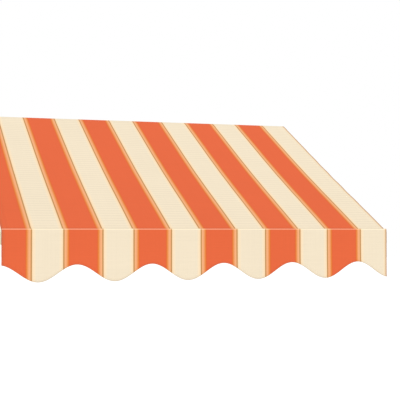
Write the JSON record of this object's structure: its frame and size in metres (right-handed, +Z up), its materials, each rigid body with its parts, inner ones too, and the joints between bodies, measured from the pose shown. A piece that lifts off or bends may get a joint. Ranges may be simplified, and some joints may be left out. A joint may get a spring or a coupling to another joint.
{
  "type": "folding-arm fabric awning",
  "caption": "Wall-mounted folding-arm awning with a striped fabric canopy, wavy-hemmed valance, roller, crank gear and front rail.",
  "frame": {"origin": "on the wall plane, at mid width, level with the torsion bar's axis", "axes": "+X along the wall to the right as seen from the street, +Y into the wall, +Z up; the awning reaches out along -Y"},
  "size_m": [2.0502, 1.4785, 0.9275],
  "materials": {
    "frame_coat": "cream powder coat, satin",
    "zinc_steel": "zinc-plated",
    "spring_steel": "oiled spring wire",
    "cream_plastic": "moulded, fine grain",
    "dark_plastic": "moulded, smooth",
    "canopy_fabric": "woven acrylic in orange and cream stripes",
    "valance_fabric": "woven acrylic in orange and cream stripes"
  },
  "bodies": {
    "wall_frame": {"torsion_bar": "frame_coat", "left_wall_bracket": "frame_coat", "right_wall_bracket": "frame_coat", "left_bracket_jaw": "frame_coat", "right_bracket_jaw": "frame_coat", "left_jaw_bolt": "zinc_steel", "right_jaw_bolt": "zinc_steel", "left_end_bracket": "frame_coat", "right_end_bracket": "frame_coat", "left_end_screw": "zinc_steel", "right_end_screw": "zinc_steel", "left_roller_bush": "dark_plastic", "right_roller_bush": "dark_plastic", "gearbox_case": "frame_coat", "upper_gear_screw": "zinc_steel", "lower_gear_screw": "zinc_steel", "left_arm_bracket": "frame_coat", "right_arm_bracket": "frame_coat", "left_clamp_bolt": "zinc_steel", "right_clamp_bolt": "zinc_steel", "left_shoulder_pin": "zinc_steel", "right_shoulder_pin": "zinc_steel", "canopy": "canopy_fabric"},
    "roller": {"roller_tube": "zinc_steel", "fabric_roll": "canopy_fabric", "idler_cap": "cream_plastic", "drive_cap": "cream_plastic", "worm_wheel": "zinc_steel"},
    "crank": {"worm": "zinc_steel", "crank_eye": "zinc_steel"},
    "left_rear_half": {"left_rear_arm": "frame_coat", "left_shoulder_knuckle": "frame_coat", "left_elbow_fork": "frame_coat", "left_elbow_pin": "zinc_steel", "left_arm_spring": "spring_steel", "left_spring_cable": "zinc_steel"},
    "left_front_half": {"left_front_arm": "frame_coat", "left_elbow_tongue": "frame_coat", "left_front_knuckle": "frame_coat"},
    "right_rear_half": {"right_rear_arm": "frame_coat", "right_shoulder_knuckle": "frame_coat", "right_elbow_fork": "frame_coat", "right_elbow_pin": "zinc_steel", "right_arm_spring": "spring_steel", "right_spring_cable": "zinc_steel"},
    "right_front_half": {"right_front_arm": "frame_coat", "right_elbow_tongue": "frame_coat", "right_front_knuckle": "frame_coat"},
    "front_bar": {"front_rail": "frame_coat", "left_rail_cap": "cream_plastic", "right_rail_cap": "cream_plastic", "left_front_bracket": "frame_coat", "right_front_bracket": "frame_coat", "left_rail_bolt": "zinc_steel", "right_rail_bolt": "zinc_steel", "left_front_pin": "zinc_steel", "right_front_pin": "zinc_steel", "valance": "valance_fabric", "valance_keder": "dark_plastic", "canopy_keder": "dark_plastic"}
  },
  "joints": [
    {"name": "fold", "type": "hinge", "parent": "wall_frame", "child": "left_rear_half", "pos_m": [-0.8, -0.135, -0.03], "axis": [0, -0.4003, 0.9164], "range_deg": [0, 75], "deforming": ["canopy"]},
    {"name": "left_elbow", "type": "hinge", "parent": "left_rear_half", "child": "left_front_half", "pos_m": [-0.70258, -0.7702, -0.3075], "axis": [0, -0.4003, 0.9164], "range_deg": [-150, 0]},
    {"name": "left_front", "type": "hinge", "parent": "left_front_half", "child": "front_bar", "pos_m": [-0.8, -1.4054, -0.585], "axis": [0, -0.4003, 0.9164], "range_deg": [0, 75]},
    {"name": "right_shoulder", "type": "hinge", "parent": "wall_frame", "child": "right_rear_half", "pos_m": [0.8, -0.135, -0.03], "axis": [0, -0.4003, 0.9164], "range_deg": [-75, 0]},
    {"name": "right_elbow", "type": "hinge", "parent": "right_rear_half", "child": "right_front_half", "pos_m": [0.70258, -0.7702, -0.3075], "axis": [0, -0.4003, 0.9164], "range_deg": [0, 150]},
    {"name": "roller_turn", "type": "hinge", "parent": "wall_frame", "child": "roller", "pos_m": [0, -0.075, 0.085], "axis": [-1, 0, 0], "range_deg": [0, 1850]},
    {"name": "crank_turn", "type": "hinge", "parent": "wall_frame", "child": "crank", "pos_m": [-1.0241, -0.0988, 0.085], "axis": [0, 0, 1], "range_deg": [0, 9230]}
  ],
  "couplings": [
    {"joint": "left_elbow", "follows": "fold", "ratio": -2},
    {"joint": "left_front", "follows": "fold", "ratio": 1},
    {"joint": "right_shoulder", "follows": "fold", "ratio": -1},
    {"joint": "right_elbow", "follows": "fold", "ratio": 2},
    {"joint": "roller_turn", "follows": "fold", "ratio": 24.6},
    {"joint": "crank_turn", "follows": "fold", "ratio": 123}
  ]
}
